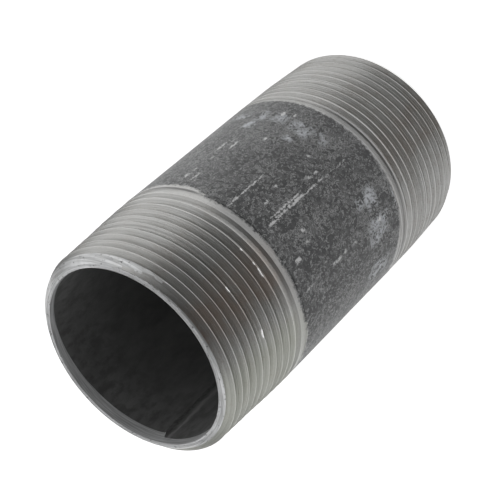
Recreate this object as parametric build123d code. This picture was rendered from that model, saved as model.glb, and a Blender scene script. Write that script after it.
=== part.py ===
from build123d import *
import math
import os

# A threaded steel pipe nipple, nominal 1-1/2 inch, standard wall, 3-1/2 inches long.
# It stands on one end: +Z runs along the pipe, and the origin is the centre of the bottom face.
# All sizes are in millimetres, and angles in degrees.

MM_PER_INCH = 25.4

# The pipe
OUTSIDE_DIAMETER = 48.26
WALL = 3.683
LENGTH = 88.9

# The taper pipe thread on both ends, a 60 degree V; the cuts are shares of a pitch
THREADS_PER_INCH = 11.5
TAPER_ON_DIAMETER = 1 / 16
FLANK_ANGLE = 30
CREST_CUT = 0.073
ROOT_CUT = 0.04
VANISHING_PITCHES = 3.47
BOTTOM_THREAD_START_ANGLE = 204
TOP_THREAD_START_ANGLE = -104

# The cut ends: a bevel outside, from just under the thread's root, and a slight ream inside
BEVEL_LENGTH = 1.45
BEVEL_BELOW_ROOT = 0.2
REAM_LENGTH = 2.4
REAM_STEP = 0.22

# The low weld bead along the bore
SEAM_ANGLE = 141
BEAD_WIDTH = 3.0
BEAD_HEIGHT = 0.2

# The mill scale on the barrel, which the die strips from the last crests
SCALE_THICKNESS = 0.03

# Sizes that follow from those above
OUTSIDE_RADIUS = OUTSIDE_DIAMETER / 2
BORE_RADIUS = OUTSIDE_RADIUS - WALL
TAPER_ON_RADIUS = TAPER_ON_DIAMETER / 2
PITCH = MM_PER_INCH / THREADS_PER_INCH

# Pitch diameter at the end face and length of useful thread, by the standard's rules
PITCH_DIAMETER = OUTSIDE_DIAMETER - (0.05 * OUTSIDE_DIAMETER / MM_PER_INCH + 1.1) * PITCH
USEFUL_LENGTH = (0.8 * OUTSIDE_DIAMETER / MM_PER_INCH + 6.8) * PITCH
THREAD_END = USEFUL_LENGTH + VANISHING_PITCHES * PITCH

# The thread's V at the end face: a sharp one would be this high, less what is cut off crest and root
FLANK_SLOPE = math.tan(math.radians(FLANK_ANGLE))
SHARP_HEIGHT = PITCH / 2 / FLANK_SLOPE
CREST_RADIUS = PITCH_DIAMETER / 2 + SHARP_HEIGHT / 2 - CREST_CUT * PITCH
ROOT_RADIUS = PITCH_DIAMETER / 2 - SHARP_HEIGHT / 2 + ROOT_CUT * PITCH
STRIPPED_RADIUS = OUTSIDE_RADIUS - SCALE_THICKNESS
CREST_CONE_LENGTH = (STRIPPED_RADIUS - CREST_RADIUS) / TAPER_ON_RADIUS

# The thread cutter: it clears the crest by a little, and its shank is narrower than the pitch.
# It starts below the face by a part of a turn that keeps the ends of its turns off the tube's own seam line.
CUTTER_MARGIN = 0.03
CUTTER_SHANK = 0.8
LEAD_IN_TURNS = 0.7


def half_tube():
    """The lower half of the pipe's wall: a bevelled face, the cone of the crests and the plain barrel."""
    face_radius = ROOT_RADIUS - BEVEL_BELOW_ROOT
    bevel_radius = CREST_RADIUS + BEVEL_LENGTH * TAPER_ON_RADIUS
    section = Polyline(
        (BORE_RADIUS, 0),
        (face_radius, 0),
        (bevel_radius, BEVEL_LENGTH),
        (STRIPPED_RADIUS, CREST_CONE_LENGTH),
        (OUTSIDE_RADIUS, THREAD_END),
        (OUTSIDE_RADIUS, LENGTH / 2),
        (BORE_RADIUS, LENGTH / 2),
        close=True,
    )
    return revolve(Plane.XZ * make_face(section), axis=Axis.Z)


def root_radius(height):
    """Radius of the full thread's root at a height above the end face."""
    return ROOT_RADIUS + height * TAPER_ON_RADIUS


def groove(low, high):
    """What the thread cutter removes between two heights: a flat-rooted V along a right-hand helix."""
    rise = root_radius(high) - root_radius(low)
    path = Helix(
        pitch=PITCH,
        height=high - low,
        radius=root_radius(low),
        center=(0, 0, low),
        cone_angle=math.degrees(math.atan(rise / (high - low))),
    ).rotate(Axis.Z, 360 * low / PITCH)
    start = path @ 0
    across = Plane(origin=start, x_dir=(start.X, start.Y, 0), z_dir=path % 0)
    root_half = ROOT_CUT * PITCH * FLANK_SLOPE
    flank_height = SHARP_HEIGHT - (CREST_CUT + ROOT_CUT) * PITCH + CUTTER_MARGIN
    crest_half = root_half + flank_height * FLANK_SLOPE
    outline = Polyline(
        (0, -root_half),
        (0, root_half),
        (flank_height, crest_half),
        (flank_height + CUTTER_SHANK, crest_half),
        (flank_height + CUTTER_SHANK, -crest_half),
        (flank_height, -crest_half),
        close=True,
    )
    return sweep(across * make_face(outline), path=path, is_frenet=True)


def uncut_core():
    """What the die's chamfered teeth leave: past the useful thread the roots climb a cone to the barrel."""
    slope = (OUTSIDE_RADIUS - root_radius(USEFUL_LENGTH)) / (THREAD_END - USEFUL_LENGTH)
    low = USEFUL_LENGTH - PITCH
    section = Polyline(
        (BORE_RADIUS, low),
        (OUTSIDE_RADIUS - (THREAD_END - low) * slope, low),
        (OUTSIDE_RADIUS, THREAD_END),
        (OUTSIDE_RADIUS, LENGTH / 2),
        (BORE_RADIUS, LENGTH / 2),
        close=True,
    )
    return revolve(Plane.XZ * make_face(section), axis=Axis.Z)


def threaded_half():
    """The lower half with its thread, cut one turn at a time and filled again where the thread vanishes."""
    half = half_tube()
    low = -LEAD_IN_TURNS * PITCH
    while low < THREAD_END:
        half = half - groove(low, low + PITCH)
        low = low + PITCH
    return half + uncut_core()


def weld_bead():
    """A shallow rounded ridge along the bore, with its root inside the wall."""
    half_width = BEAD_WIDTH / 2
    edge = math.sqrt(BORE_RADIUS**2 - half_width**2)
    crown = BORE_RADIUS - BEAD_HEIGHT
    root = BORE_RADIUS + WALL / 4
    outline = [
        ThreePointArc((edge, -half_width), (crown, 0), (edge, half_width)),
        Polyline((edge, half_width), (root, half_width), (root, -half_width), (edge, -half_width)),
    ]
    return extrude(make_face(outline), LENGTH).rotate(Axis.Z, SEAM_ANGLE)


def ream():
    """The cone that a reamer cuts away at the bottom mouth."""
    section = Polyline(
        (0, 0),
        (BORE_RADIUS + REAM_STEP, 0),
        (BORE_RADIUS, REAM_LENGTH),
        (0, REAM_LENGTH),
        close=True,
    )
    return revolve(Plane.XZ * make_face(section), axis=Axis.Z)


def turned_over(shape):
    """The same shape at the other end: the pipe turned end for end, which keeps the thread right-handed."""
    return shape.rotate(Axis.X, 180).translate((0, 0, LENGTH))


def pipe_nipple():
    """The whole nipple, one solid: two like threads, each with its own start round the pipe."""
    half = threaded_half()
    bottom = half.rotate(Axis.Z, BOTTOM_THREAD_START_ANGLE)
    top = turned_over(half).rotate(Axis.Z, TOP_THREAD_START_ANGLE)
    body = bottom + top + weld_bead()
    return body - ream() - turned_over(ream())


os.makedirs("parts", exist_ok=True)
nipple = pipe_nipple()
export_step(nipple, "parts/pipe_nipple.step")
print("volume", round(nipple.volume), "cubic mm, solids", len(nipple.solids()))
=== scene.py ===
import math

import bpy
import numpy as np
from mathutils import Matrix, Vector, noise

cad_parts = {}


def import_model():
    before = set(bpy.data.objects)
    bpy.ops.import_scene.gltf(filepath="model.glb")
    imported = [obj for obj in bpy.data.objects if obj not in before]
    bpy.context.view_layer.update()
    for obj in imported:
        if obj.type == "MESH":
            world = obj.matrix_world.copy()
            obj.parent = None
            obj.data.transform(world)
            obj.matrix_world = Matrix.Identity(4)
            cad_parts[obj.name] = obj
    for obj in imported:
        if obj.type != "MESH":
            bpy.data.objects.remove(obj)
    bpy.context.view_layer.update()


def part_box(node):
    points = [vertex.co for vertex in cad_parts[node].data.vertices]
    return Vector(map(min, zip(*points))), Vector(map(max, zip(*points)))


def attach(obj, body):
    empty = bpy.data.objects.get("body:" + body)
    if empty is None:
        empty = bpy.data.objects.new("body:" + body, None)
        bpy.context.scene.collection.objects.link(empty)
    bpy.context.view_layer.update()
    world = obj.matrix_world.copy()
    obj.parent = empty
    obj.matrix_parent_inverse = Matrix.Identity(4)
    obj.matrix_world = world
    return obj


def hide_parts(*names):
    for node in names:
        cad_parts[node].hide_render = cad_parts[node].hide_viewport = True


# A threaded black steel pipe nipple: both ends have a taper thread of bare steel, and the barrel
# between them keeps its dark mill scale. It stands on one end, +Z runs along the pipe and the
# origin is the centre of the bottom face. Lengths are in millimetres until a mesh is made, in metres.

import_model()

MM = 0.001
NODE = "pipe_nipple"
low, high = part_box(NODE)

# The pipe, from the frame, and its wall
LENGTH = round((high[2] - low[2]) / MM, 2)
OUTSIDE_RADIUS = round((high[0] - low[0]) / MM / 2, 2)
WALL = 3.683
BORE_RADIUS = OUTSIDE_RADIUS - WALL

# The taper pipe thread, 11.5 to the inch, as the frame has it; where each one starts is as photographed
PITCH = 25.4 / 11.5
TAPER = 1 / 32
FLANK_SLOPE = math.tan(math.radians(30))
ROOT_RADIUS = 21.942
ROOT_HALF_WIDTH = 0.051
CREST_RADIUS = 23.6055
STRIPPED_RADIUS = 24.10
CREST_CONE_LENGTH = 15.82
USEFUL_LENGTH = 18.376
THREAD_END = 26.0405
BOTTOM_START = math.radians(251)
TOP_START = math.radians(-71)

# The threads were cut a little under size, most of all at the ends. The bottom one is true again at
# the first of these heights, and the top one has still kept a share there and is true at the second
TOP_UNDERSIZE = 0.30
BOTTOM_UNDERSIZE = 0.18
UNDERSIZE_HEIGHTS = (12, 21)
TOP_SHARE_KEPT = 0.9

# The cut ends: the top one leans towards the back, by this much at the bore's rim, and neither bevel
# is quite round
LEAN = 0.26
BEVEL_SLOPE = 1.25
FACE_RADIUS = 21.52
BEVEL_OFF_CENTRE = 0.04
FACE_OVAL = 0.12
REAM_STEP = 0.12

# How deep the reams go at angles round the bore; past the weld line they turn shallower
REAM_ANGLES = (0, 10, 40, 90, 140.5, 142, 180, 270, 360)
REAM_DEPTHS = (0.8, 0.9, 1.35, 2.3, 2.75, 1.4, 2.2, 0.8, 0.8)
REAM_RUN_OUT = 0.3

# The weld line along the bore; its bead begins at this share of the ream's depth
SEAM_ANGLE = math.radians(141)
BEAD_HALF_WIDTH = 1.5
BEAD_HEIGHT = 0.2
BEAD_BEGINS = 0.6

# How finely the mesh is made
COLUMNS = 288
ROWS_PER_PITCH = 9
BARREL_ROW = 1.0
BORE_ROW = 2.6
REAM_ROWS = (0.1, 0.5, 1)
WIDEST_CORNER = 0.46 * PITCH
WIDEST_FLOOR = 0.9
SHARP_ANGLE = 28
EXTRA_TURNS = 2

# Slack for telling whether a point is on a crest or a face is on the bevel, and how squarely a face
# looks inward if it's in the bore, or up or down if it's an end
CREST_SLACK = 0.02
BEVEL_SLACK = 0.05
INWARD = 0.5
LEVEL = 0.9


def on_circle(radius, angle):
    """X and Y of the spot at an angle on a circle round the pipe's middle."""
    return radius * math.cos(angle), radius * math.sin(angle)


def thread_root(height):
    """Radius of the full thread's root at a height above its end face."""
    return ROOT_RADIUS + height * TAPER


def vanishing_root(height):
    """Radius of the cone that the last roots climb."""
    start = thread_root(USEFUL_LENGTH)
    slope = (OUTSIDE_RADIUS - start) / (THREAD_END - USEFUL_LENGTH)
    return start + (height - USEFUL_LENGTH) * slope


def crest_cap(height):
    """Radius of the crests, and past the thread of the barrel."""
    stations = (0, CREST_CONE_LENGTH, THREAD_END, LENGTH)
    return np.interp(height, stations, (CREST_RADIUS, STRIPPED_RADIUS, OUTSIDE_RADIUS, OUTSIDE_RADIUS))


def undersize(height, top):
    """How much the thread falls short of its drawn radius at a height above its end."""
    first, second = UNDERSIZE_HEIGHTS
    upper = np.interp(height, (0, first, second), (TOP_UNDERSIZE, TOP_SHARE_KEPT * TOP_UNDERSIZE, 0))
    lower = np.interp(height, (0, first), (BOTTOM_UNDERSIZE, 0))
    return np.where(top, upper, lower)


def face_radius(theta):
    """Radius of the end face's outer edge, where the bevel starts."""
    return FACE_RADIUS - BEVEL_OFF_CENTRE * np.sin(theta) - FACE_OVAL * np.cos(2 * theta)


def lean(theta, radius=OUTSIDE_RADIUS):
    """How far the top face stands above its middle."""
    return -LEAN * np.sin(theta) * radius / BORE_RADIUS


def bevel(from_face, theta):
    """Radius of the bevel's cone at a distance from the end face; it goes on past the crests."""
    return face_radius(theta) + BEVEL_SLOPE * from_face


def thread_radius(height, turns):
    """Radius of the threaded surface; turns is how far the spot is from a root centre, in pitches."""
    from_root = np.abs(turns - np.round(turns)) * PITCH
    vee = thread_root(height) + np.maximum(0, from_root - ROOT_HALF_WIDTH) / FLANK_SLOPE
    return np.minimum(np.maximum(vee, vanishing_root(height)), crest_cap(height))


def row_offsets(height):
    """Where the rows of one turn lie about its root centre: on both corners of the root, twice on each
    flank, on both corners of the crest and on its middle. Past the thread they spread out evenly."""
    root = np.maximum(thread_root(height), vanishing_root(height))
    corner = ROOT_HALF_WIDTH + (crest_cap(height) - thread_root(height)) * FLANK_SLOPE
    corner = np.clip(corner, 0, WIDEST_CORNER)
    floor = ROOT_HALF_WIDTH + (root - thread_root(height)) * FLANK_SLOPE
    floor = np.minimum(floor, WIDEST_FLOOR * corner)
    third = (corner - floor) / 3
    steps = [-corner, -corner + third, -floor - third, -floor]
    steps += [floor, floor + third, corner - third, corner, np.full_like(corner, PITCH / 2)]
    even = [(m - ROWS_PER_PITCH // 2) * PITCH / ROWS_PER_PITCH for m in range(ROWS_PER_PITCH)]
    spread = np.clip((height - THREAD_END) / PITCH + 0.5, 0, 1)
    return [step * (1 - spread) + level * spread for step, level in zip(steps, even)]


def outer_rows():
    """Heights of the mesh's rows at every column, one array a row, from below the bottom face to above
    the top one. Each row follows the thread's helix, so it ends where the row a turn later begins."""
    turn = np.arange(COLUMNS) / COLUMNS
    theta = turn * 2 * math.pi
    threads = math.ceil(THREAD_END / PITCH) + EXTRA_TURNS
    upward, downward = range(-EXTRA_TURNS, threads), range(threads, -EXTRA_TURNS - 1, -1)
    first_column = np.zeros(1)

    def bottom_turn(k, at):
        centre = PITCH * (k + (at - BOTTOM_START) / (2 * math.pi))
        return [centre + offset for offset in row_offsets(centre)]

    def top_turn(k, at):
        centre = PITCH * (k + (TOP_START - at) / (2 * math.pi))
        return [LENGTH - centre - offset for offset in row_offsets(centre)][::-1]

    starts = [row[0] for row in bottom_turn(threads, first_column)]
    top_starts = [row[0] for k in downward for row in top_turn(k, first_column)]
    count = round((top_starts[0] - starts[-1]) / BARREL_ROW)
    starts += list(np.linspace(starts[-1], top_starts[0], count + 1))[1:-1]
    nexts = (starts + top_starts)[ROWS_PER_PITCH:]
    rows = [row for k in upward for row in bottom_turn(k, theta)]
    rows += [(1 - turn) * start + turn * after for start, after in zip(starts, nexts)]
    rows += [row for k in downward for row in top_turn(k, theta)]
    return np.array(rows)


def outer_radius(heights, theta):
    """Radius of the outside at each row and column before wear, and the distance from its end and face."""
    bottom_turns = heights / PITCH - (theta - BOTTOM_START) / (2 * math.pi)
    depth = LENGTH - heights
    top_turns = depth / PITCH - (TOP_START - theta) / (2 * math.pi)
    lower = heights < LENGTH / 2
    from_end = np.where(lower, heights, depth)
    turns = np.where(lower, bottom_turns, top_turns)
    radius = thread_radius(from_end, turns) - undersize(from_end, ~lower)
    from_face = np.where(lower, heights, depth + lean(theta))
    return radius, from_end, from_face


def snap_to_bevel(heights, theta):
    """Moves the nearest row to each place where the bevel crosses the thread, for a clean edge."""
    radius, _, from_face = outer_radius(heights, theta)
    gap = radius - bevel(from_face, theta)
    crossing = (gap[:-1] * gap[1:] < 0) & (from_face[:-1] > 0) & (from_face[1:] > 0)
    for i, j in zip(*np.nonzero(crossing)):
        share = gap[i, j] / (gap[i, j] - gap[i + 1, j])
        place = heights[i, j] + share * (heights[i + 1, j] - heights[i, j])
        heights[i if share < 0.5 else i + 1, j] = place


# Dents knocked into the crests: distance from the top face, angle, length round the pipe, depth
CREST_DENTS = (
    (12.0, -126, 2.6, 0.22),
    (18.8, -102, 1.8, 0.14),
    (9.6, -97, 0.8, 0.1),
    (11.7, -80, 1.0, 0.1),
    (14.2, 30, 1.4, 0.15),
    (64.9, -60, 1.6, 0.14),
    (76.2, -130, 1.8, 0.16),
    (80.4, 155, 1.5, 0.15),
    (7.5, 170, 1.2, 0.12),
)

# Unevenness: how far it goes, and how many of its waves lie in a millimetre
BARREL_UNEVEN = 0.03
BARREL_WAVES = 0.09
CREST_RAGGED = 0.035
CREST_WAVES = 0.8
FINE_CREST_WAVES = 3.1
FINE_SHARE = 0.25

# The burr where the thread ends
BURR_HEIGHT = 0.07
BURR_PLACE = 24.4
BURR_HALF_WIDTH = 1.1
BURR_LEVEL = 0.7
BURR_RAGGED = 0.6
BURR_WAVES = 0.5


def wear(x, y, z, from_end, capped):
    """How much the surface stands off its drawn radius at a spot: ragged crests, dents, a burr, waves."""
    spot = Vector((x, y, z))
    off = BARREL_UNEVEN * noise.noise(spot * BARREL_WAVES)
    if capped and from_end < THREAD_END:
        ragged = noise.noise(spot * CREST_WAVES) + FINE_SHARE * noise.noise(spot * FINE_CREST_WAVES)
        off -= CREST_RAGGED * max(0.0, ragged)
        for distance, angle, length, depth in CREST_DENTS:
            centre = Vector((*on_circle(OUTSIDE_RADIUS, math.radians(angle)), LENGTH - distance))
            gone = (spot - centre).length / (length / 2)
            if gone < 1:
                off -= depth * (1 - gone * gone)
    lift = 1 - ((from_end - BURR_PLACE) / BURR_HALF_WIDTH) ** 2
    if lift > 0:
        off += BURR_HEIGHT * lift * (BURR_LEVEL + BURR_RAGGED * noise.noise(spot * BURR_WAVES))
    return off


def ream_depth(theta):
    """How deep the ream goes: it was cut off centre, so one side is deeper."""
    return np.interp(np.degrees(theta) % 360, REAM_ANGLES, REAM_DEPTHS)


def bore_rows(theta):
    """Heights of the bore's rows at every column, from the bottom face up, without the two faces."""
    near = [ream_depth(theta) * share for share in REAM_ROWS] + [ream_depth(theta) + REAM_RUN_OUT]
    count = round(LENGTH / BORE_ROW)
    low_row, high_row = near[-1], LENGTH - near[-1]
    middle = [low_row + (high_row - low_row) * k / count for k in range(1, count)]
    rim = lean(theta, BORE_RADIUS)
    return near + middle + [LENGTH + rim - row for row in near[::-1]]


def bore_radius(theta, height):
    """Radius of the bore: the ream's cone at each mouth and the weld's low bead."""
    from_end = np.minimum(height, LENGTH + lean(theta, BORE_RADIUS) - height)
    reamed = REAM_STEP * np.clip(1 - from_end / ream_depth(theta), 0, 1)
    across = BORE_RADIUS * np.abs((theta - SEAM_ANGLE + math.pi) % (2 * math.pi) - math.pi)
    bead = BEAD_HEIGHT * np.clip(1 - (across / BEAD_HALF_WIDTH) ** 2, 0, 1)
    return BORE_RADIUS + reamed - bead * np.clip(from_end / ream_depth(theta) - BEAD_BEGINS, 0, 1)


def nipple_mesh():
    """The whole surface as one closed mesh: outside, top face, bore and bottom face. The last list says
    which points are on a crest."""
    theta = np.arange(COLUMNS) / COLUMNS * 2 * math.pi
    top = LENGTH + lean(theta)
    heights = np.clip(outer_rows(), 0, top)
    snap_to_bevel(heights, theta)
    radius, from_end, from_face = outer_radius(heights, theta)
    capped = radius + undersize(from_end, heights > LENGTH / 2) > crest_cap(from_end) - CREST_SLACK
    beveled = bevel(from_face, theta) < radius
    radius = np.minimum(radius, bevel(from_face, theta))

    verts, crest, faces = [], [], []

    def add(r, j, z, on_crest=0.0):
        verts.append((*on_circle(r, theta[j]), z))
        crest.append(on_crest)
        return len(verts) - 1

    def quad(*corners):
        kept = [c for n, c in enumerate(corners) if c != corners[n - 1]]
        if len(set(kept)) > 2 and len(set(kept)) == len(kept):
            faces.append(kept)

    edge = face_radius(theta)
    bottom_ring = [add(edge[j], j, 0.0) for j in range(COLUMNS)]
    top_ring = [add(edge[j], j, top[j]) for j in range(COLUMNS)]
    index = np.empty(heights.shape, int)
    for i in range(heights.shape[0]):
        for j in range(COLUMNS):
            z = heights[i, j]
            if z <= 0:
                index[i, j] = bottom_ring[j]
            elif z >= top[j]:
                index[i, j] = top_ring[j]
            else:
                r = radius[i, j]
                on_crest = capped[i, j] and not beveled[i, j]
                r += wear(*on_circle(r, theta[j]), z, from_end[i, j], on_crest)
                index[i, j] = add(r, j, z, float(on_crest))

    last = heights.shape[0] - ROWS_PER_PITCH
    for i in range(heights.shape[0] - 1):
        for j in range(COLUMNS - 1):
            quad(index[i, j], index[i, j + 1], index[i + 1, j + 1], index[i + 1, j])
        if i < last - 1:
            after, later = i + ROWS_PER_PITCH, i + 1 + ROWS_PER_PITCH
            quad(index[i, -1], index[after, 0], index[later, 0], index[i + 1, -1])

    mouth = bore_radius(theta, np.zeros(COLUMNS))
    rim = LENGTH + lean(theta, BORE_RADIUS)
    inner = [[add(mouth[j], j, 0.0) for j in range(COLUMNS)]]
    for row in bore_rows(theta):
        radii = bore_radius(theta, row)
        inner.append([add(radii[j], j, row[j]) for j in range(COLUMNS)])
    inner.append([add(mouth[j], j, rim[j]) for j in range(COLUMNS)])
    rings = [bottom_ring] + inner + [top_ring]
    for ring, after in zip(rings, rings[1:]):
        for j in range(COLUMNS):
            k = (j + 1) % COLUMNS
            quad(ring[j], after[j], after[k], ring[k])
    return verts, faces, crest


def nipple_piece():
    verts, faces, crest = nipple_mesh()
    mesh = bpy.data.meshes.new("nipple")
    mesh.from_pydata([tuple(c * MM for c in v) for v in verts], [], [list(map(int, f)) for f in faces])
    mesh.validate()
    layer = mesh.attributes.new("crest", "FLOAT", "POINT")
    layer.data.foreach_set("value", crest)
    mesh.shade_smooth()
    mesh.set_sharp_from_angle(angle=math.radians(SHARP_ANGLE))
    mesh.update()
    piece = bpy.data.objects.new("nipple", mesh)
    bpy.context.scene.collection.objects.link(piece)
    return piece


class Graph:
    """The nodes of one tree, made by short calls. Values may be numbers, colours or sockets."""

    def __init__(self, tree):
        self.tree = tree

    def put(self, socket, value):
        if isinstance(value, bpy.types.NodeSocket):
            self.tree.links.new(value, socket)
        else:
            socket.default_value = value

    def node(self, kind, inputs=(), **settings):
        made = self.tree.nodes.new(kind)
        for name, value in settings.items():
            setattr(made, name, value)
        for key, value in dict(inputs).items():
            self.put(made.inputs[key], value)
        return made

    def math(self, operation, *values, clamp=False):
        settings = {"operation": operation, "use_clamp": clamp}
        return self.node("ShaderNodeMath", enumerate(values), **settings).outputs[0]

    def add(self, total, *others):
        for other in others:
            total = self.math("ADD", total, other)
        return total

    def times(self, total, *others):
        for other in others:
            total = self.math("MULTIPLY", total, other)
        return total

    def minus(self, first, second):
        return self.math("SUBTRACT", first, second)

    def distance(self, first, second):
        return self.math("ABSOLUTE", self.minus(first, second))

    def vector(self, x, y, z):
        return self.node("ShaderNodeCombineXYZ", {0: x, 1: y, 2: z}).outputs[0]

    def noise(self, vector, detail=2.0, roughness=0.6, distortion=0.0, scale=1.0):
        inputs = {"Vector": vector, "Scale": scale, "Detail": detail, "Roughness": roughness}
        inputs["Distortion"] = distortion
        return self.node("ShaderNodeTexNoise", inputs).outputs["Fac"]

    def ramp(self, value, start, end, low=0.0, high=1.0, smooth=False):
        """Goes from low at start to high at end, straight or smoothly, and stays there beyond."""
        inputs = {0: value, 1: start, 2: end, 3: low, 4: high}
        kind = "SMOOTHSTEP" if smooth else "LINEAR"
        return self.node("ShaderNodeMapRange", inputs, interpolation_type=kind, clamp=True).outputs[0]

    def span(self, value, start, full, ebb, end):
        """1 from full to ebb, fading smoothly to 0 at start and end."""
        rise = self.ramp(value, start, full, smooth=True)
        return self.times(rise, self.ramp(value, end, ebb, smooth=True))

    def blend(self, factor, first, second):
        return self.node("ShaderNodeMix", {0: factor, 6: first, 7: second}, data_type="RGBA").outputs[2]

    def between(self, factor, first, second):
        return self.node("ShaderNodeMix", {0: factor, 2: first, 3: second}, data_type="FLOAT").outputs[0]

    def bump(self, height, distance):
        inputs = {"Strength": 1.0, "Distance": distance * MM, "Height": height}
        return self.node("ShaderNodeBump", inputs).outputs[0]

    def shade(self, colour, metallic, roughness, normal):
        """Ends a material with one shader."""
        inputs = {"Base Color": colour, "Metallic": metallic, "Roughness": roughness, "Normal": normal}
        self.end(self.node("ShaderNodeBsdfPrincipled", inputs).outputs[0])

    def end(self, shader):
        self.node("ShaderNodeOutputMaterial", {0: shader})


def new_material(name):
    """An empty material and the graph of its nodes."""
    made = bpy.data.materials.new(name)
    made.use_nodes = True
    made.node_tree.nodes.clear()
    return made, Graph(made.node_tree)


class Place:
    """Where a point of the nipple is: sockets for its parts in millimetres, shared by all that follows."""

    def __init__(self, graph):
        self.graph = g = graph
        coordinates = g.node("ShaderNodeTexCoord").outputs["Object"]
        scaled = g.node("ShaderNodeVectorMath", {0: coordinates, 3: 1 / MM}, operation="SCALE").outputs[0]
        parts = g.node("ShaderNodeSeparateXYZ", {0: scaled})
        self.point = scaled
        self.x, self.y, self.z = parts.outputs
        self.angle = g.math("ARCTAN2", self.y, self.x)
        self.radius = g.math("SQRT", g.add(g.times(self.x, self.x), g.times(self.y, self.y)))
        self.from_top = g.minus(LENGTH, self.z)
        self.from_end = g.math("MINIMUM", self.z, self.from_top)

    def front(self):
        """Degrees from the middle of the front, growing to the left as seen from there."""
        g = self.graph
        return g.math("WRAP", g.minus(-90.0, g.times(self.angle, 180 / math.pi)), 180.0, -180.0)

    def stretched(self, across, along):
        """The point with its cross-section and its length scaled apart, for patterns with a direction."""
        g = self.graph
        return g.vector(g.times(self.x, across), g.times(self.y, across), g.times(self.z, along))

    def in_rings(self, level, fineness, drift):
        """A point that is the same all along one ring of that level, but for a slow drift."""
        g = self.graph
        return g.vector(g.times(level, fineness), g.times(self.x, drift), g.times(self.y, drift))

    def along_thread(self, fineness, drift):
        """A point that is the same all along one line of the thread, for marks left by the die's teeth."""
        g = self.graph
        rise = g.times(self.angle, -PITCH / (2 * math.pi))
        phase = g.times(g.add(self.z, rise), 2 * math.pi / PITCH)
        across = g.times(g.math("COSINE", phase), fineness)
        along = g.times(g.math("SINE", phase), fineness)
        return g.vector(across, along, g.times(self.z, drift))


# Marks, each a stretch from and to a distance from the top face, an angle from the middle of the front
# in degrees, a width in degrees, and how strong it is. Past 90 degrees they are on the back.
# Scratches and knocks in the scale
SCRATCHES = (
    (28.0, 40.6, -2.3, 1.7, 1.9),
    (29.5, 40.5, -4.1, 1.3, 1.3),
    (38.0, 47.6, -1.9, 1.1, 1.1),
    (46.0, 57.2, -1.4, 0.9, 0.45),
    (24.9, 38.8, -22.4, 1.2, 0.9),
    (28.9, 31.0, -54, 2.6, 0.9),
    (31.8, 33.2, -53.6, 2.4, 0.8),
    (28.3, 31.8, -48.6, 2.0, 0.7),
    (27.6, 30.0, -46.8, 1.2, 0.5),
    (40.6, 45.8, -54.2, 1.8, 0.85),
    (41.6, 45.6, -48.5, 1.8, 0.9),
    (36.5, 39.9, -52.0, 1.6, 0.5),
    (44.0, 45.8, -51.4, 1.6, 0.5),
    (27.9, 29.9, 19.2, 3.2, 1.0),
    (26.2, 31.0, 34, 1.4, 0.45),
    (37.4, 41.0, 34, 2.2, 0.75),
    (41.2, 42.9, 33.4, 2.6, 0.7),
    (44.6, 47.3, 34, 1.8, 0.65),
    (44.7, 46.0, -6.4, 1.6, 0.8),
    (46.6, 48.2, -6.0, 2.0, 0.75),
    (31.5, 33.0, -11.0, 3.0, 0.85),
    (36.6, 37.8, -14.0, 2.0, 0.6),
    (49.2, 50.4, -14.6, 2.0, 0.8),
    (58.2, 59.4, -36.6, 2.4, 1.0),
    (57.4, 59.2, -42.4, 3.0, 0.9),
    (47.4, 48.8, -37.6, 2.0, 0.75),
    (33.8, 35.0, 10, 2.6, 0.8),
    (32.9, 34.0, 16, 2.4, 0.75),
    (55.2, 56.6, 34, 3.0, 0.8),
    (52.6, 56.4, -1.0, 1.6, 0.7),
    (31.0, 44.0, 118, 1.2, 1.1),
    (36.0, 52.0, -142, 1.4, 1.3),
    (29.5, 35.0, 163, 1.8, 1.0),
    (47.0, 49.0, 137, 2.4, 0.9),
    (54.0, 60.0, -118, 1.2, 0.9),
)

# Nicks in the crests of the near thread, painted near white as glints: painted highlights
CREST_NICK_GLINTS = (
    (18.7, 19.25, 11.0, 6.0, 1.0),
    (18.7, 19.2, 5.8, 2.0, 0.8),
    (18.6, 19.15, -2.8, 2.0, 0.7),
    (12.15, 12.8, 34.6, 5.6, 1.0),
    (9.85, 10.35, 6.5, 3.6, 0.9),
)

# Where the scale is rubbed thin
SMUDGES = (
    (52.9, 57.8, -28.2, 15, 1.0),
    (50.0, 52.3, -29, 6.5, 0.8),
    (54.2, 58.6, -42, 12, 0.8),
    (50.2, 54.0, -53.4, 8, 1.0),
    (54.0, 58.6, -51.5, 9, 0.85),
    (54.4, 57.8, -17, 10, 0.6),
    (53.4, 58.0, 21.5, 14, 0.95),
    (50.4, 53.6, 20, 8, 0.6),
    (51.0, 59.6, 34.5, 9, 0.75),
    (51.0, 58.8, 41, 9, 0.75),
    (62.6, 63.2, 31, 14, 1.0),
    (50.0, 58.5, 61, 14, 0.6),
    (54.8, 58.5, -66, 16, 0.7),
    (30.0, 36.5, 126, 22, 0.8),
    (50.0, 57.0, 158, 26, 0.9),
    (28.0, 33.0, -155, 20, 0.8),
    (45.0, 53.0, -112, 16, 0.8),
)

# Where the scale's specks are denser
SPECKLED = (
    (52.0, 60.1, -12.2, 22, 1.0),
    (29.0, 50.1, 13, 11, 0.9),
    (27.0, 48.0, -51, 16, 0.8),
    (49.0, 60.0, 36.6, 16, 0.9),
    (44.2, 60.2, -40.2, 34, 0.8),
    (26.0, 33.0, 36, 14, 0.5),
    (60.0, 63.5, 24.7, 24, 0.5),
)


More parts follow.
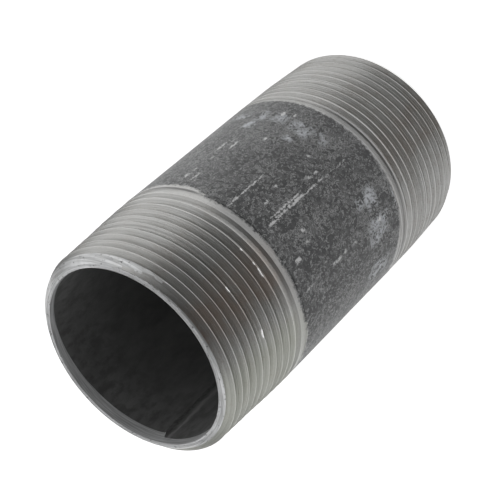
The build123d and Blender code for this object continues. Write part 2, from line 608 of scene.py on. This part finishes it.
def mark_group():
    """One mark's mask: full along its stretch, fading towards its ends and its sides."""
    tree = bpy.data.node_groups.new("Mark", "ShaderNodeTree")
    for name in ("Along", "Around", "From", "To", "Angle", "Width", "Strength"):
        tree.interface.new_socket(name, in_out="INPUT", socket_type="NodeSocketFloat")
    tree.interface.new_socket("Mask", in_out="OUTPUT", socket_type="NodeSocketFloat")
    g = Graph(tree)
    entry = g.node("NodeGroupInput").outputs

    def hump(value, middle, half):
        off = g.math("DIVIDE", g.minus(value, middle), half)
        return g.math("SUBTRACT", 1.0, g.times(off, off), clamp=True)

    middle = g.times(g.add(entry["From"], entry["To"]), 0.5)
    half = g.times(g.minus(entry["To"], entry["From"]), 0.5)
    ends = hump(entry["Along"], middle, half)
    sides = hump(entry["Around"], entry["Angle"], g.times(entry["Width"], 0.5))
    g.node("NodeGroupOutput", {0: g.times(g.math("POWER", ends, 0.5), sides, entry["Strength"])})
    return tree


def marks(g, place, around, listed, group):
    """The strongest of the listed marks at a point."""
    masks = []
    for mark in listed:
        inputs = enumerate((place.from_top, around) + mark)
        masks.append(g.node("ShaderNodeGroup", node_tree=group))
        for key, value in inputs:
            g.put(masks[-1].inputs[key], value)
    strongest = masks[0].outputs[0]
    for mask in masks[1:]:
        strongest = g.math("MAXIMUM", strongest, mask.outputs[0])
    return strongest


def grey(level, warm=0.0, green=0.0):
    """A grey of that linear lightness, tinted a little."""
    return (level * (1 + warm), level * (1 + green), level * (1 - warm), 1.0)


# The colours of the mill scale
SCALE_DARK = grey(0.036, -0.03)
SCALE_LIGHT = grey(0.062, -0.03)
SCALE_CLOUD = grey(0.090, -0.01, 0.01)
# A painted sheen: lighter scale for the left and right sides as seen from the front
SCALE_SIDE_SHEEN = grey(0.175, -0.015, 0.01)
FAINT_SPECK = grey(0.24, -0.01)
SPECK = grey(0.50, -0.01)
RUBBED = grey(0.55, -0.04, -0.01)
RUBBED_BRIGHT = grey(0.88, -0.04, -0.01)
SCRATCH = grey(0.80, -0.01)

# The colours of the bare steel
STEEL_DARK = grey(0.29, 0.01, 0.01)
STEEL_LIGHT = grey(0.50, 0.01, 0.01)
STEEL_PATCH = grey(0.34, 0.03, 0.015)
STEEL_GRAIN = grey(0.20, 0.02)
STAIN = (0.26, 0.17, 0.13, 1.0)
# A brownish painted reflection for the middle of the front
BROWN_REFLECTION = (0.30, 0.25, 0.22, 1.0)
# Painted shade for the middle of the front
MIDDLE_SHADE = grey(0.20, 0.01, 0.01)
# Painted highlights for the steel's left and right as seen from the front
LEFT_STEEL_HIGHLIGHT = grey(0.62, 0.01, 0.01)
RIGHT_STEEL_HIGHLIGHT = (0.405, 0.42, 0.36, 1.0)
# Lighter crests: partly scraped steel, partly a painted highlight
CREST_SCRAPE_AND_HIGHLIGHT = grey(0.56)
# Near white for the nicks' painted glints
NICK_GLINT = grey(0.95)
BAND = grey(0.27)
# A painted highlight for the band's left
BAND_HIGHLIGHT = grey(0.66)
BAND_LINE = grey(0.13)

# Where things lie on the outside, in millimetres from the top or from the nearer end, and in the
# degrees of Place.front
NEAR_PART = 40.0
TOP_SCALE_EDGE = 24.8
BOTTOM_SCALE_EDGE = 25.7
BAND_START = (22.6, 23.3)
SECOND_BAND_LINE = 25.0
SECOND_BAND_WIDTH = 1.35
SECOND_BAND_BEGINS = (-34.5, -42.0)
RIGHT_EDGE_SHIFT = 1.1
RIGHT_EDGE_BEGINS = (36.0, 58.0)
# Where the painted highlights lie on the steel's left and right
LEFT_HIGHLIGHT_SPAN = (-80.0, -60.0, -38.0, -20.0)
RIGHT_HIGHLIGHT_BEGINS = (30.0, 50.0)
# Where the painted shade lies, in the middle of the front
MIDDLE_SHADE_CENTRE = 6.0
MIDDLE_SHADE_REACH = (36.0, 14.0)
# Where the brownish painted reflection lies
BROWN_REFLECTION_SPAN = (-10.0, 8.0, 16.0, 32.0)
# Where the crests' painted highlight fades out, on the left
CREST_HIGHLIGHT_FADE = (-12.0, -36.0)
# Where the scale's painted sheen lies on the left and right
SHEEN_LEFT = (-14.0, -58.0)
SHEEN_RIGHT = (48.0, 80.0)
DENSE_LEFT = (-8.0, -40.0)


class Scale:
    """Mill scale: dark, with light squiggly specks that thicken into rubbed patches."""

    def __init__(self, g, p, front, group):
        self.squiggle = g.noise(p.stretched(0.95, 0.80), 3.0, 0.62, 1.4)
        self.grain = g.noise(p.stretched(3.2, 2.4), 2.0, 0.6, 0.8)
        self.cloud = g.noise(p.stretched(0.20, 0.11), 4.0)
        self.blotch = g.noise(p.stretched(0.5, 0.36), 3.0)
        self.mixed = g.add(g.times(self.squiggle, 0.7), g.times(self.grain, 0.3))
        smudge = marks(g, p, front, SMUDGES, group)
        colour = self.specked(g, p, front, smudge, marks(g, p, front, SPECKLED, group))
        colour = self.rubbed(g, colour, smudge)

        # Scratches waver a little and break up with the specks
        jitter = g.noise(p.stretched(1.6, 1.2), 3.0)
        around = g.add(front, g.ramp(jitter, 0.2, 0.8, -0.8, 0.8))
        scratched = marks(g, p, around, SCRATCHES, group)
        self.scratch = g.ramp(g.times(scratched, g.ramp(self.mixed, 0.42, 0.58, 0.1, 1.3)), 0.15, 0.6)
        self.colour = g.blend(g.times(self.scratch, 0.9), colour, SCRATCH)

        height = g.add(g.ramp(self.mixed, 0.0, 1.0, -1.0, 1.0), g.ramp(self.blotch, 0.0, 1.0, -0.8, 0.8))
        self.height = g.minus(height, g.times(self.scratch, 0.2))
        self.roughness = g.ramp(self.squiggle, 0.3, 0.7, 0.60, 0.46)

    def specked(self, g, p, front, smudge, speckled):
        """The plain scale with its specks, which are denser under marks, in clouds and on the left, and a
        painted sheen on its left and right.
        """
        density = g.add(g.ramp(self.cloud, 0.36, 0.64, -0.02, 0.05), g.times(speckled, 0.075))
        left = g.ramp(front, *DENSE_LEFT, 0.0, 0.025, smooth=True)
        density = g.add(density, g.times(smudge, 0.05), left)
        faint = g.math("MULTIPLY", g.minus(g.add(self.mixed, density), 0.525), 14.0, clamp=True)
        worm = g.ramp(g.distance(self.squiggle, 0.5), 0.042, 0.018)
        pieces = g.noise(p.stretched(1.2, 1.0), 2.0)
        worm = g.times(worm, g.ramp(g.add(pieces, g.times(density, 1.6)), 0.47, 0.54))
        # Painted sheen: the scale is painted lighter towards its left and right as seen from the front
        side_sheen = g.ramp(front, *SHEEN_LEFT, 0.0, 1.0, smooth=True)
        side_sheen = g.math("MAXIMUM", side_sheen, g.ramp(front, *SHEEN_RIGHT, 0.0, 0.8, smooth=True))
        colour = g.blend(g.ramp(self.grain, 0.35, 0.65), SCALE_DARK, SCALE_LIGHT)
        colour = g.blend(g.ramp(self.cloud, 0.38, 0.66, 0.0, 0.6), colour, SCALE_CLOUD)
        colour = g.blend(g.times(side_sheen, 0.85), colour, SCALE_SIDE_SHEEN)
        colour = g.blend(g.times(faint, 0.45), colour, FAINT_SPECK)
        return g.blend(g.times(worm, 0.85), colour, SPECK)

    def rubbed(self, g, colour, smudge):
        """Smudges with ragged edges, brightest in pieces of their middle."""
        patch = g.add(g.times(smudge, 0.95), g.ramp(self.blotch, 0.3, 0.7, -0.35, 0.35))
        patch = g.add(patch, g.ramp(self.mixed, 0.38, 0.62, -0.65, 0.65))
        patch = g.times(g.ramp(patch, 0.25, 0.75), g.ramp(smudge, 0.0, 0.2))
        colour = g.blend(g.times(patch, 0.85), colour, RUBBED)
        bright = g.ramp(g.add(self.mixed, g.times(self.blotch, 0.5)), 0.74, 0.84)
        bright = g.times(g.ramp(smudge, 0.35, 0.8), bright)
        return g.blend(g.times(bright, 0.8), colour, RUBBED_BRIGHT)


class Bare:
    """Bare steel, with the die's marks along the thread. Second is where a second band of it lies."""

    def __init__(self, g, p, front, near, second, group):
        self.lines = g.noise(p.along_thread(3.4, 0.25), 3.0, 0.65)
        self.patches = g.noise(p.stretched(0.30, 0.25), 3.5, 0.65)
        self.fine = g.noise(p.stretched(3.0, 6.0), 2.0)
        self.on_crest = g.node("ShaderNodeAttribute", attribute_name="crest").outputs["Fac"]
        colour = self.cut(g, front)
        colour = self.shaded(g, front, near, colour)
        # Painted glints on the nicks in the near thread's crests
        nick_glints = g.times(marks(g, p, front, CREST_NICK_GLINTS, group), g.ramp(self.on_crest, 0.55, 0.85))
        colour = g.blend(g.ramp(nick_glints, 0.1, 0.5, 0.0, 0.9), colour, NICK_GLINT)
        self.colour = self.banded(g, p, front, near, second, colour)
        height = g.ramp(self.lines, 0.0, 1.0, -0.5, 0.5)
        self.height = g.add(height, g.ramp(self.fine, 0.0, 1.0, -0.2, 0.2))
        self.roughness = g.ramp(self.lines, 0.3, 0.7, 0.36, 0.26)

    def cut(self, g, front):
        """Tool lines, patches, brown stains, dark grain, and crests painted lighter, partly scraped steel
        and partly a painted highlight.
        """
        colour = g.blend(g.ramp(self.lines, 0.35, 0.65), STEEL_DARK, STEEL_LIGHT)
        colour = g.blend(g.ramp(self.patches, 0.35, 0.65, 0.0, 0.5), colour, STEEL_PATCH)
        stain = g.times(g.ramp(self.patches, 0.45, 0.6), g.ramp(self.fine, 0.5, 0.7))
        colour = g.blend(g.times(stain, 0.35), colour, STAIN)
        colour = g.blend(g.ramp(self.fine, 0.55, 0.75, 0.0, 0.5), colour, STEEL_GRAIN)
        crest = g.times(g.math("POWER", self.on_crest, 6.0), g.ramp(self.fine, 0.35, 0.6, 0.1, 1.0))
        # The crests' painted highlight fades out towards the left as seen from the front
        crest = g.times(crest, g.ramp(front, *CREST_HIGHLIGHT_FADE, 1.0, 0.1, smooth=True))
        return g.blend(g.times(crest, 0.4), colour, CREST_SCRAPE_AND_HIGHLIGHT)

    def shaded(self, g, front, near, colour):
        """Painted light on the steel as seen from the front: painted highlights on the left and right,
        painted shade in the middle, and a brownish painted reflection there.
        """
        # Painted highlights: the steel is painted lighter on its left and right
        left = g.times(g.span(front, *LEFT_HIGHLIGHT_SPAN), g.between(near, 0.3, 0.45))
        colour = g.blend(left, colour, LEFT_STEEL_HIGHLIGHT)
        right = g.times(near, g.ramp(front, *RIGHT_HIGHLIGHT_BEGINS, smooth=True), 0.45)
        colour = g.blend(right, colour, RIGHT_STEEL_HIGHLIGHT)
        # Painted shade: darker steel in the middle as seen from the front
        middle = g.ramp(g.distance(front, MIDDLE_SHADE_CENTRE), *MIDDLE_SHADE_REACH, smooth=True)
        colour = g.blend(g.times(middle, g.between(near, 0.0, 0.4)), colour, MIDDLE_SHADE)
        # A brownish painted reflection near the middle of the front
        brown_reflection = g.times(g.span(front, *BROWN_REFLECTION_SPAN), g.ramp(self.patches, 0.35, 0.65, 0.3, 1.0))
        return g.blend(g.times(brown_reflection, g.between(near, 0.3, 0.65)), colour, BROWN_REFLECTION)

    def banded(self, g, p, front, near, second, colour):
        """The smooth band past the last turn: darker in the middle as seen from the front, partly its own
        tone and partly painted shade, with rings, a painted highlight on its left, and on the left a line
        between it and the second band."""
        # The band's darker colour is kept in the middle as seen from the front and fades to the sides:
        # partly its own tone, partly painted shade
        left = g.ramp(front, -40.0, -12.0, smooth=True)
        right = g.ramp(front, 12.0, 40.0, 1.0, 0.5, smooth=True)
        rings = g.noise(p.stretched(0.12, 6.0), 2.0)
        band = g.times(g.ramp(p.from_end, *BAND_START), g.ramp(rings, 0.35, 0.65, 1.0, 0.5))
        colour = g.blend(g.times(band, left, right), colour, BAND)
        # A painted highlight on the band's left
        band_highlight = g.times(band, g.ramp(front, -14.0, -34.0, 0.0, 0.1, smooth=True), near)
        colour = g.blend(band_highlight, colour, BAND_HIGHLIGHT)
        line = g.times(second, g.ramp(g.distance(p.from_top, SECOND_BAND_LINE), 0.3, 0.12), 0.75)
        return g.blend(line, colour, BAND_LINE)


def scaled_part(g, p, front, near, second, scale):
    """1 where there is scale, 0 on bare steel: the edge is torn, and scratches go halfway through."""
    torn = g.noise(p.stretched(1.5, 0.9), 3.0, 0.65)
    edge = g.add(g.ramp(torn, 0.2, 0.8, -0.55, 0.55), g.ramp(scale.grain, 0.35, 0.65, 0.3, -0.3))
    edge = g.add(edge, g.between(near, BOTTOM_SCALE_EDGE, TOP_SCALE_EDGE))
    edge = g.add(edge, g.times(second, SECOND_BAND_WIDTH))
    edge = g.add(edge, g.ramp(front, *RIGHT_EDGE_BEGINS, 0.0, RIGHT_EDGE_SHIFT, smooth=True))
    inside = g.ramp(g.minus(p.from_end, edge), -0.22, 0.22)
    return g.times(inside, g.minus(1.0, g.times(scale.scratch, 0.5)))


def steel_material():
    """The outside: bare threaded steel at both ends and dark mill scale between, with a ragged edge."""
    made, g = new_material("black_steel")
    p = Place(g)
    group = mark_group()
    front = p.front()
    near = g.ramp(p.from_top, NEAR_PART, NEAR_PART + 1, 1.0, 0.0)
    second = g.times(g.ramp(front, *SECOND_BAND_BEGINS), near)
    scale = Scale(g, p, front, group)
    bare = Bare(g, p, front, near, second, group)
    scaled = scaled_part(g, p, front, near, second, scale)
    # Both heights have their middle at nought, so that the edge between them isn't a step
    g.shade(
        colour=g.blend(scaled, bare.colour, scale.colour),
        metallic=g.between(scaled, 1.0, 0.0),
        roughness=g.between(scaled, bare.roughness, scale.roughness),
        normal=g.bump(g.between(scaled, bare.height, scale.height), 0.09),
    )
    return made


def turned_material():
    """The faces and bevels: steel turned in a lathe, with rings of tool marks and a few dark pits."""
    made, g = new_material("turned_steel")
    p = Place(g)
    rings = g.noise(p.in_rings(g.minus(p.radius, g.times(p.from_end, 0.9)), 9.0, 0.08))
    patches = g.noise(p.point, 3.0, scale=0.35)
    pits = g.noise(p.point, scale=1.9)
    colour = g.blend(g.ramp(rings, 0.35, 0.62), grey(0.36, -0.01), grey(0.70, -0.01))
    colour = g.blend(g.ramp(patches, 0.4, 0.7, 0.0, 0.5), colour, grey(0.46, 0.01, 0.01))
    colour = g.blend(g.ramp(pits, 0.64, 0.69, 0.0, 0.9), colour, grey(0.07))
    height = g.add(rings, g.ramp(pits, 0.62, 0.74, 0.0, -1.0))
    g.shade(colour, 1.0, g.ramp(rings, 0.3, 0.7, 0.42, 0.30), g.bump(height, 0.09))
    return made


def bore_material():
    """The bore: nearly black scale, mottled near the mouths, and a dark line at the weld."""
    made, g = new_material("bore_scale")
    p = Place(g)
    streak = g.noise(p.stretched(0.7, 0.25), 3.0)
    cloud = g.noise(p.stretched(0.16, 0.1), 3.0)
    grain = g.noise(p.stretched(2.4, 1.4))
    colour = g.blend(g.ramp(streak, 0.3, 0.7), grey(0.11, 0.0, 0.01), grey(0.15, 0.0, 0.01))
    colour = g.blend(g.ramp(cloud, 0.45, 0.7, 0.0, 0.6), colour, grey(0.19, 0.0, 0.01))
    mottle = g.noise(p.stretched(0.55, 0.35), 4.0, 0.65)
    shallow = g.ramp(p.from_end, 20.0, 6.0, 0.15, 1.0, smooth=True)
    colour = g.blend(g.times(g.ramp(mottle, 0.46, 0.62, 0.0, 0.55), shallow), colour, grey(0.055, 0.012))

    # The weld line: dark, broken, with a paler strip along its far side
    away = g.times(g.minus(p.angle, SEAM_ANGLE), BORE_RADIUS)
    away = g.add(away, g.ramp(streak, 0.2, 0.8, -0.5, 0.5))
    pale = g.ramp(g.distance(away, BEAD_HALF_WIDTH), 0.6, 0.1, 0.0, 0.6)
    colour = g.blend(pale, colour, grey(0.30))
    broken = g.ramp(grain, 0.38, 0.6, 0.2, 1.0)
    line = g.times(g.ramp(g.math("ABSOLUTE", away), 0.65, 0.2), broken, 0.75)
    colour = g.blend(line, colour, grey(0.03))
    height = g.add(streak, g.times(grain, 0.4))
    g.shade(colour, 0.0, g.ramp(cloud, 0.3, 0.7, 0.62, 0.48), g.bump(height, 0.1))
    return made


def reamed_material():
    """The ream at each mouth: a band of cut steel that dulled again."""
    made, g = new_material("reamed_steel")
    p = Place(g)
    rings = g.noise(p.in_rings(p.z, 6.0, 0.15))
    colour = g.blend(g.ramp(rings, 0.35, 0.65), grey(0.38, -0.01), grey(0.74, -0.01))
    g.shade(colour, 0.2, g.ramp(rings, 0.3, 0.7, 0.6, 0.45), g.bump(rings, 0.05))
    return made


def dress(piece):
    """Gives each face its finish by where it lies."""
    for made in (steel_material(), turned_material(), bore_material(), reamed_material()):
        piece.data.materials.append(made)
    steel, turned, scaled, reamed = range(4)
    for face in piece.data.polygons:
        centre = face.center / MM
        radius, theta = math.hypot(centre.x, centre.y), math.atan2(centre.y, centre.x)
        from_face = min(centre.z, LENGTH + lean(theta, radius) - centre.z)
        outward = (face.normal.x * centre.x + face.normal.y * centre.y) / radius
        if outward < -INWARD:
            face.material_index = reamed if from_face < ream_depth(theta) else scaled
        elif abs(face.normal.z) > LEVEL or radius > bevel(from_face, theta) - BEVEL_SLACK:
            face.material_index = turned
        else:
            face.material_index = steel


# The camera, fitted to the photograph: where it is, its own axes in the object's frame, and its lens
CAMERA_PLACE = (-0.1425, -259.1201, 273.8786)
CAMERA_RIGHT = (-0.676192, -0.484487, -0.555013)
CAMERA_UP = (0.736723, -0.444985, -0.509139)
CAMERA_BACK = (-0.000308, -0.753171, 0.657832)
LENS = 117.3055
SENSOR = 36.0


def camera():
    data = bpy.data.cameras.new("camera")
    data.sensor_width = SENSOR
    data.lens = LENS
    made = bpy.data.objects.new("camera", data)
    turn = Matrix((CAMERA_RIGHT, CAMERA_UP, CAMERA_BACK)).transposed().to_4x4()
    made.matrix_world = Matrix.Translation(Vector(CAMERA_PLACE) * MM) @ turn
    bpy.context.scene.collection.objects.link(made)
    bpy.context.scene.camera = made


# The softboxes: the direction each stands in from the aim, its distance, width and height in metres,
# and its brightness as the radiance a mirror would show
AIM = Vector((0, 0, 50 * MM))
SOFTBOXES = (
    ("right", (0.74, 0.16, 0.62), 0.60, 0.80, 0.65, 0.90),
    ("left", (-0.77, 0.18, 0.56), 0.60, 0.88, 0.55, 0.84),
    ("back", (0.0, 0.80, 0.60), 0.70, 0.60, 0.40, 0.95),
)

# The studio's own level, which grows towards the front between these steps of the direction's Y
WORLD_FRONT = 0.30
WORLD_REST = 0.10
WORLD_FADE = (-0.08, -0.65)
FLOOR_HALF = 3.0
FLOOR_ALBEDO = 0.80
FLOOR_GLOW = 0.75
WHITE = (1, 1, 1, 1)


def softbox(name, direction, distance, width, height, radiance):
    data = bpy.data.lights.new(name, "AREA")
    data.shape = "RECTANGLE"
    data.size, data.size_y = width, height
    # An area lamp of power W and area A shows a radiance of W / (pi A)
    data.energy = radiance * math.pi * width * height
    made = bpy.data.objects.new(name, data)
    away = Vector(direction).normalized()
    turn = away.to_track_quat("Z", "Y").to_matrix().to_4x4()
    made.matrix_world = Matrix.Translation(AIM + away * distance) @ turn
    made.visible_camera = False
    bpy.context.scene.collection.objects.link(made)


def seen_rays(g):
    """1 for the rays that see a backdrop: the camera's, and those off gloss and through glass."""
    path = g.node("ShaderNodeLightPath").outputs
    total = g.add(path["Is Camera Ray"], path["Is Glossy Ray"])
    return g.math("ADD", total, path["Is Transmission Ray"], clamp=True)


def floor():
    mesh = bpy.data.meshes.new("floor")
    corners = [(x * FLOOR_HALF, y * FLOOR_HALF, 0) for x, y in ((-1, -1), (1, -1), (1, 1), (-1, 1))]
    mesh.from_pydata(corners, [], [(0, 1, 2, 3)])
    made = bpy.data.objects.new("floor", mesh)
    bpy.context.scene.collection.objects.link(made)
    finish, g = new_material("floor")
    pale = g.node("ShaderNodeBsdfDiffuse", {"Color": (FLOOR_ALBEDO, FLOOR_ALBEDO, FLOOR_ALBEDO, 1)})
    glow = g.node("ShaderNodeEmission", {"Color": WHITE, "Strength": g.times(seen_rays(g), FLOOR_GLOW)})
    g.end(g.node("ShaderNodeAddShader", {0: pale.outputs[0], 1: glow.outputs[0]}).outputs[0])
    mesh.materials.append(finish)


def world():
    """A dim studio, a little brighter from the front, and white where the camera sees past the floor."""
    made = bpy.data.worlds.new("studio")
    bpy.context.scene.world = made
    made.use_nodes = True
    g = Graph(made.node_tree)
    direction = g.node("ShaderNodeTexCoord").outputs["Generated"]
    forward = g.node("ShaderNodeSeparateXYZ", {0: direction}).outputs["Y"]
    level = g.ramp(forward, *WORLD_FADE, WORLD_REST, WORLD_FRONT)
    seen = g.node("ShaderNodeLightPath").outputs["Is Camera Ray"]
    background = made.node_tree.nodes["Background"]
    g.put(background.inputs["Color"], WHITE)
    g.put(background.inputs["Strength"], g.between(seen, level, 1.0))


nipple = nipple_piece()
dress(nipple)
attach(nipple, "root")
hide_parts(NODE)

camera()
for box in SOFTBOXES:
    softbox(*box)
floor()
world()
bpy.context.scene.view_settings.view_transform = "Standard"
